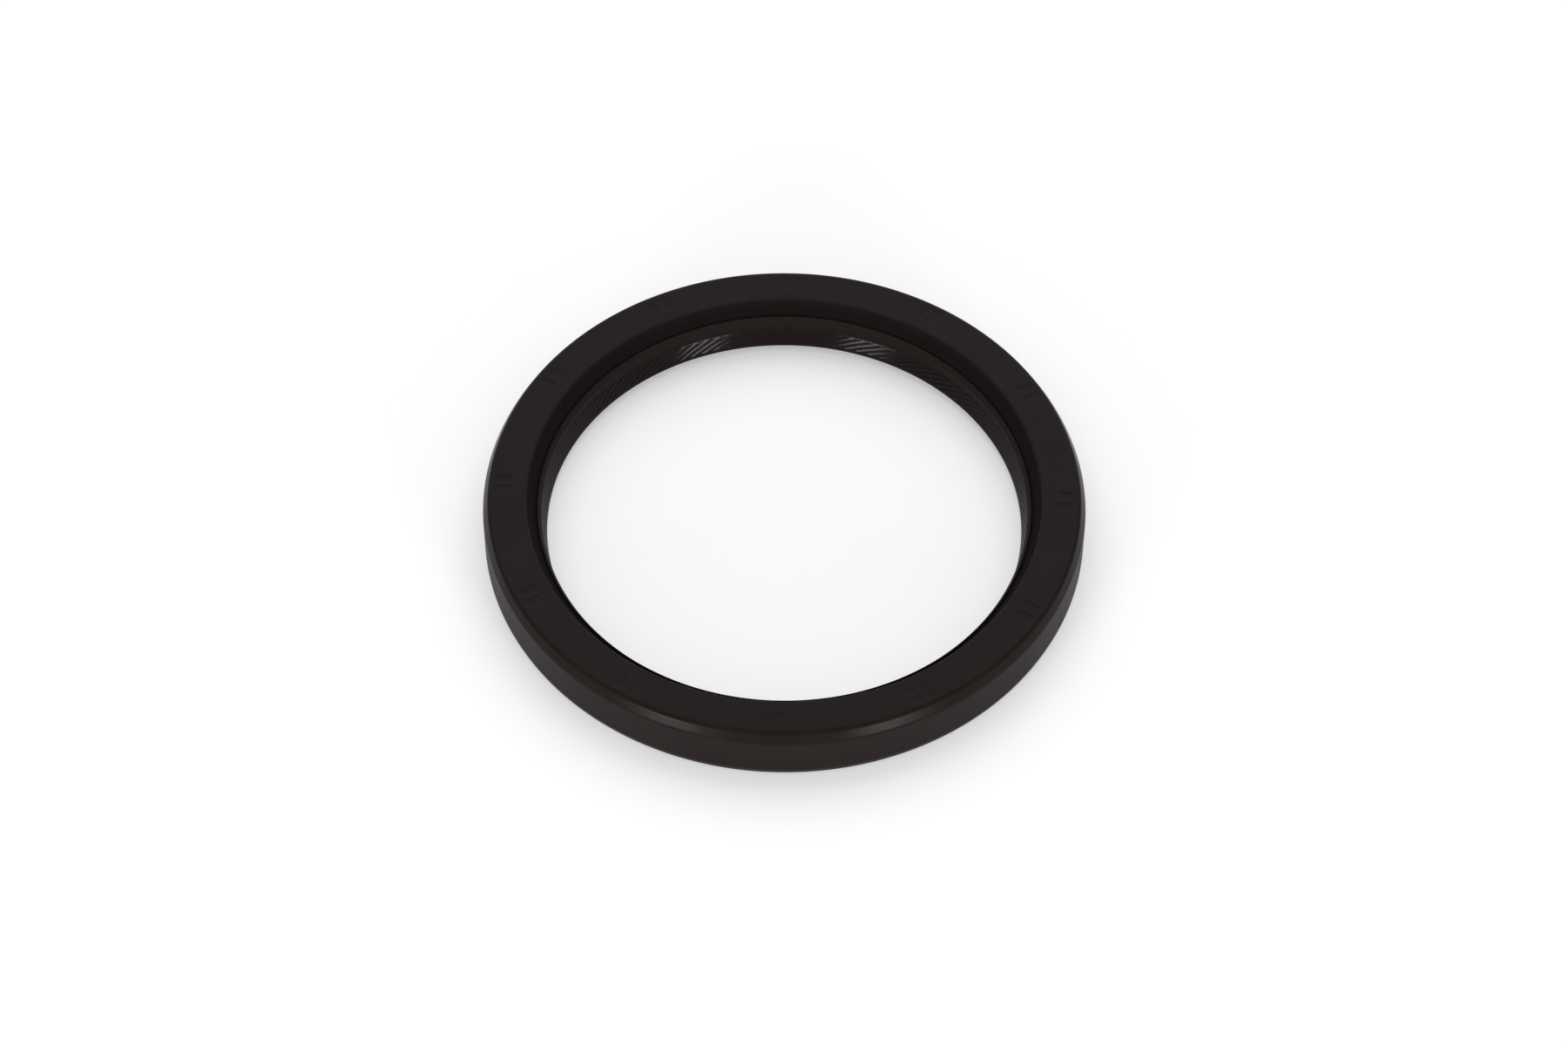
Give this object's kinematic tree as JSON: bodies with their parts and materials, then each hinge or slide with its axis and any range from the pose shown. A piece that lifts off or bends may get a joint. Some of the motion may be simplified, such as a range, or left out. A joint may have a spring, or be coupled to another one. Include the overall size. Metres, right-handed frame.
{
  "type": "radial shaft seal",
  "caption": "Rubber-covered radial shaft seal with a bonded steel case and a garter spring behind a ribbed sealing lip.",
  "frame": {"origin": "on the shaft axis, in the plane of the oil-side rim", "axes": "+Z along the shaft axis towards the air side; X and Y across it"},
  "size_m": [0.1, 0.1, 0.01],
  "materials": {
    "nitrile_rubber": "satin moulded black rubber",
    "case_steel": "pressed cold-rolled steel, dull",
    "spring_steel": "drawn spring wire"
  },
  "bodies": {
    "root": {"rubber_body": "nitrile_rubber", "metal_case": "case_steel", "garter_spring": "spring_steel"}
  },
  "joints": []
}
